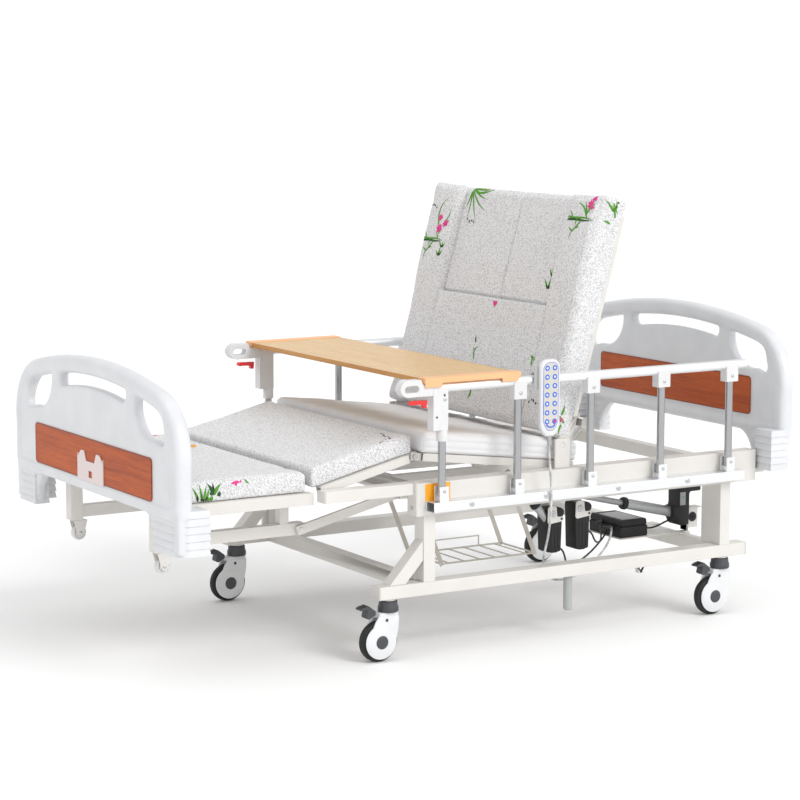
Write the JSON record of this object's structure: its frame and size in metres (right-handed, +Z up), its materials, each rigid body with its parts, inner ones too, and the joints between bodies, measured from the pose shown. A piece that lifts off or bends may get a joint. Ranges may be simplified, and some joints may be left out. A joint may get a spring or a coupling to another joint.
{
  "type": "adjustable hospital bed",
  "caption": "Nursing bed with raising back, lowering leg section, folding side rails, lift-off table, handset and braked casters.",
  "frame": {"origin": "on the floor, midway along and across the bed", "axes": "+X towards the head, +Y towards the far side rail, +Z up"},
  "size_m": [2.224, 1.1808, 1.3805],
  "materials": {
    "white_powder_coat": "warm white powder coat",
    "white_plastic": "satin moulded white",
    "cable_grey": "light grey cable sheath",
    "wood_laminate": "reddish wood-grain laminate",
    "beech_board": "beech laminate",
    "peach_plastic": "peach moulding",
    "black_plastic": "black glass-filled nylon",
    "black_rubber": "black cable sheath",
    "zinc_steel": "zinc plated",
    "satin_aluminium": "satin anodised",
    "polished_aluminium": "polished anodised",
    "red_plastic": "glossy red",
    "printed_ticking": "printed mattress ticking",
    "white_ticking": "plain white cover",
    "caster_shell": "white shells, dark cap",
    "tyre_rubber": "black tread",
    "pedal_grey": "dark grey",
    "small_wheel_plastic": "light grey"
  },
  "bodies": {
    "root": {"base_frame": "white_powder_coat", "main_frame": "white_powder_coat", "frame_plugs": "white_plastic", "head_board": "white_plastic", "head_wood_panel": "wood_laminate", "control_box": "black_plastic", "frame_bolts": "zinc_steel", "rail_bars": "satin_aluminium", "rail_brackets": "zinc_steel", "actuator_bodies": "black_plastic", "actuator_leads": "black_rubber", "handset_cord": "cable_grey", "bedpan_rack": "white_powder_coat"},
    "near_post_1": {"near_rail_post_1": "polished_aluminium"},
    "near_post_2": {"near_rail_post_2": "polished_aluminium"},
    "near_post_3": {"near_rail_post_3": "polished_aluminium"},
    "near_post_4": {"near_rail_post_4": "polished_aluminium"},
    "near_post_5": {"near_rail_post_5": "polished_aluminium"},
    "near_top": {"near_rail_top": "satin_aluminium", "near_rail_fittings": "white_plastic"},
    "near_release": {"near_rail_release": "red_plastic"},
    "near_foot_fork": {"near_foot_caster_fork": "caster_shell"},
    "near_foot_wheel": {"near_foot_caster_wheel": "tyre_rubber"},
    "near_foot_pedal": {"near_foot_brake_pedal": "pedal_grey"},
    "near_head_fork": {"near_head_caster_fork": "caster_shell"},
    "near_head_wheel": {"near_head_caster_wheel": "tyre_rubber"},
    "near_head_pedal": {"near_head_brake_pedal": "pedal_grey"},
    "far_post_1": {"far_rail_post_1": "polished_aluminium"},
    "far_post_2": {"far_rail_post_2": "polished_aluminium"},
    "far_post_3": {"far_rail_post_3": "polished_aluminium"},
    "far_post_4": {"far_rail_post_4": "polished_aluminium"},
    "far_post_5": {"far_rail_post_5": "polished_aluminium"},
    "far_top": {"far_rail_top": "satin_aluminium", "far_rail_fittings": "white_plastic"},
    "far_release": {"far_rail_release": "red_plastic"},
    "far_foot_fork": {"far_foot_caster_fork": "caster_shell"},
    "far_foot_wheel": {"far_foot_caster_wheel": "tyre_rubber"},
    "far_foot_pedal": {"far_foot_brake_pedal": "pedal_grey"},
    "far_head_fork": {"far_head_caster_fork": "caster_shell"},
    "far_head_wheel": {"far_head_caster_wheel": "tyre_rubber"},
    "far_head_pedal": {"far_head_brake_pedal": "pedal_grey"},
    "back_section": {"back_frame": "white_powder_coat", "back_pad": "printed_ticking"},
    "back_actuator_rod": {"back_rod": "zinc_steel"},
    "seat_section": {"seat_frame": "white_powder_coat", "seat_pad": "white_ticking"},
    "knee_pin": {"knee_shaft": "zinc_steel"},
    "calf_section": {"calf_frame": "white_powder_coat", "calf_pad": "printed_ticking"},
    "knee_actuator_rod": {"knee_rod": "zinc_steel"},
    "leg_link_pair": {"leg_links": "white_powder_coat"},
    "foot_section": {"foot_frame": "white_powder_coat", "foot_pad": "printed_ticking", "foot_board": "white_plastic", "foot_wood_panel": "wood_laminate", "hook_plate": "white_powder_coat"},
    "foot_casters": {"foot_caster_wheels": "small_wheel_plastic"},
    "table": {"table_top": "beech_board", "table_clips": "peach_plastic"},
    "hand_control": {"handset": "white_plastic"}
  },
  "joints": [
    {"name": "near_rail_fold", "type": "hinge", "parent": "root", "child": "near_post_1", "pos_m": [-0.217, -0.548, 0.51], "axis": [0, -1, 0], "range_deg": [0, 80]},
    {"name": "near_post_2_fold", "type": "hinge", "parent": "root", "child": "near_post_2", "pos_m": [0.054, -0.548, 0.51], "axis": [0, -1, 0], "range_deg": [0, 80]},
    {"name": "near_post_3_fold", "type": "hinge", "parent": "root", "child": "near_post_3", "pos_m": [0.325, -0.548, 0.51], "axis": [0, -1, 0], "range_deg": [0, 80]},
    {"name": "near_post_4_fold", "type": "hinge", "parent": "root", "child": "near_post_4", "pos_m": [0.596, -0.548, 0.51], "axis": [0, -1, 0], "range_deg": [0, 80]},
    {"name": "near_post_5_fold", "type": "hinge", "parent": "root", "child": "near_post_5", "pos_m": [0.867, -0.548, 0.51], "axis": [0, -1, 0], "range_deg": [0, 80]},
    {"name": "near_top_level", "type": "hinge", "parent": "near_post_1", "child": "near_top", "pos_m": [-0.217, -0.548, 0.787], "axis": [0, -1, 0], "range_deg": [-80, 0]},
    {"name": "near_release_press", "type": "hinge", "parent": "near_top", "child": "near_release", "pos_m": [-0.274, -0.548, 0.784], "axis": [0, 1, 0], "range_deg": [0, 8], "stiffness_Nm_per_rad": 0.6, "springref_deg": -2.86},
    {"name": "near_foot_swivel", "type": "hinge", "parent": "root", "child": "near_foot_fork", "pos_m": [-0.3695, -0.492, 0.17], "axis": [0, 0, 1], "continuous": true},
    {"name": "near_foot_wheel_spin", "type": "hinge", "parent": "near_foot_fork", "child": "near_foot_wheel", "pos_m": [-0.4045, -0.492, 0.0625], "axis": [0, 1, 0], "continuous": true},
    {"name": "near_foot_brake", "type": "hinge", "parent": "near_foot_fork", "child": "near_foot_pedal", "pos_m": [-0.4265, -0.492, 0.15], "axis": [0, -1, 0], "range_deg": [0, 8]},
    {"name": "near_head_swivel", "type": "hinge", "parent": "root", "child": "near_head_fork", "pos_m": [0.8865, -0.492, 0.17], "axis": [0, 0, 1], "continuous": true},
    {"name": "near_head_wheel_spin", "type": "hinge", "parent": "near_head_fork", "child": "near_head_wheel", "pos_m": [0.8515, -0.492, 0.0625], "axis": [0, 1, 0], "continuous": true},
    {"name": "near_head_brake", "type": "hinge", "parent": "near_head_fork", "child": "near_head_pedal", "pos_m": [0.8295, -0.492, 0.15], "axis": [0, -1, 0], "range_deg": [0, 8]},
    {"name": "far_rail_fold", "type": "hinge", "parent": "root", "child": "far_post_1", "pos_m": [-0.217, 0.548, 0.51], "axis": [0, -1, 0], "range_deg": [0, 80]},
    {"name": "far_post_2_fold", "type": "hinge", "parent": "root", "child": "far_post_2", "pos_m": [0.054, 0.548, 0.51], "axis": [0, -1, 0], "range_deg": [0, 80]},
    {"name": "far_post_3_fold", "type": "hinge", "parent": "root", "child": "far_post_3", "pos_m": [0.325, 0.548, 0.51], "axis": [0, -1, 0], "range_deg": [0, 80]},
    {"name": "far_post_4_fold", "type": "hinge", "parent": "root", "child": "far_post_4", "pos_m": [0.596, 0.548, 0.51], "axis": [0, -1, 0], "range_deg": [0, 80]},
    {"name": "far_post_5_fold", "type": "hinge", "parent": "root", "child": "far_post_5", "pos_m": [0.867, 0.548, 0.51], "axis": [0, -1, 0], "range_deg": [0, 80]},
    {"name": "far_top_level", "type": "hinge", "parent": "far_post_1", "child": "far_top", "pos_m": [-0.217, 0.548, 0.787], "axis": [0, -1, 0], "range_deg": [-80, 0]},
    {"name": "far_release_press", "type": "hinge", "parent": "far_top", "child": "far_release", "pos_m": [-0.274, 0.548, 0.784], "axis": [0, 1, 0], "range_deg": [0, 8], "stiffness_Nm_per_rad": 0.6, "springref_deg": -2.86},
    {"name": "far_foot_swivel", "type": "hinge", "parent": "root", "child": "far_foot_fork", "pos_m": [-0.3695, 0.492, 0.17], "axis": [0, 0, 1], "continuous": true},
    {"name": "far_foot_wheel_spin", "type": "hinge", "parent": "far_foot_fork", "child": "far_foot_wheel", "pos_m": [-0.4045, 0.492, 0.0625], "axis": [0, 1, 0], "continuous": true},
    {"name": "far_foot_brake", "type": "hinge", "parent": "far_foot_fork", "child": "far_foot_pedal", "pos_m": [-0.4265, 0.492, 0.15], "axis": [0, -1, 0], "range_deg": [0, 8]},
    {"name": "far_head_swivel", "type": "hinge", "parent": "root", "child": "far_head_fork", "pos_m": [0.8865, 0.492, 0.17], "axis": [0, 0, 1], "continuous": true},
    {"name": "far_head_wheel_spin", "type": "hinge", "parent": "far_head_fork", "child": "far_head_wheel", "pos_m": [0.8515, 0.492, 0.0625], "axis": [0, 1, 0], "continuous": true},
    {"name": "far_head_brake", "type": "hinge", "parent": "far_head_fork", "child": "far_head_pedal", "pos_m": [0.8295, 0.492, 0.15], "axis": [0, -1, 0], "range_deg": [0, 8]},
    {"name": "back_raise", "type": "hinge", "parent": "root", "child": "back_section", "pos_m": [0.255, 0, 0.604], "axis": [0, -1, 0], "range_deg": [-74.2, 0]},
    {"name": "back_rod_slide", "type": "slide", "parent": "root", "child": "back_actuator_rod", "axis": [-0.9728, 0, 0.2317], "range_m": [-0.001, 0.24]},
    {"name": "knee_raise", "type": "hinge", "parent": "root", "child": "seat_section", "pos_m": [0.3, 0, 0.532], "axis": [0, 1, 0], "range_deg": [-7.25, 4]},
    {"name": "leg_hang", "type": "hinge", "parent": "seat_section", "child": "knee_pin", "pos_m": [-0.24997, 0, 0.60196], "axis": [0, -1, 0], "range_deg": [0, 61.8]},
    {"name": "knee_bend", "type": "hinge", "parent": "knee_pin", "child": "calf_section", "pos_m": [-0.24997, 0, 0.60196], "axis": [0, 1, 0], "range_deg": [-10.33, 18.65]},
    {"name": "knee_rod_slide", "type": "slide", "parent": "root", "child": "knee_actuator_rod", "axis": [-0.6691, 0, 0.7431], "range_m": [-0.03, 0.03]},
    {"name": "leg_lower", "type": "hinge", "parent": "root", "child": "leg_link_pair", "pos_m": [-0.225, 0, 0.472], "axis": [0, -1, 0], "range_deg": [0, 61.8]},
    {"name": "foot_level", "type": "hinge", "parent": "leg_link_pair", "child": "foot_section", "pos_m": [-0.57502, 0, 0.38997], "axis": [0, -1, 0], "range_deg": [-61.8, 0]},
    {"name": "foot_caster_spin", "type": "hinge", "parent": "foot_section", "child": "foot_casters", "pos_m": [-1.021, 0, 0.323], "axis": [0, 1, 0], "continuous": true},
    {"name": "table_lift", "type": "slide", "parent": "root", "child": "table", "axis": [0, 0, 1], "range_m": [0, 0.25]},
    {"name": "handset_lift", "type": "slide", "parent": "root", "child": "hand_control", "axis": [0, 0, 1], "range_m": [0, 0.06]}
  ],
  "couplings": [
    {"joint": "near_post_2_fold", "follows": "near_rail_fold", "ratio": 1},
    {"joint": "near_post_3_fold", "follows": "near_rail_fold", "ratio": 1},
    {"joint": "near_post_4_fold", "follows": "near_rail_fold", "ratio": 1},
    {"joint": "near_post_5_fold", "follows": "near_rail_fold", "ratio": 1},
    {"joint": "near_top_level", "follows": "near_rail_fold", "ratio": -1},
    {"joint": "far_post_2_fold", "follows": "far_rail_fold", "ratio": 1},
    {"joint": "far_post_3_fold", "follows": "far_rail_fold", "ratio": 1},
    {"joint": "far_post_4_fold", "follows": "far_rail_fold", "ratio": 1},
    {"joint": "far_post_5_fold", "follows": "far_rail_fold", "ratio": 1},
    {"joint": "far_top_level", "follows": "far_rail_fold", "ratio": -1},
    {"joint": "back_rod_slide", "follows": "back_raise", "m_per_rad": -0.17606},
    {"joint": "leg_hang", "follows": "leg_lower", "ratio": 1},
    {"joint": "knee_bend", "follows": "knee_raise", "ratio": -2.558},
    {"joint": "knee_rod_slide", "follows": "knee_raise", "m_per_rad": 0.146},
    {"joint": "foot_level", "follows": "leg_lower", "ratio": -1}
  ]
}
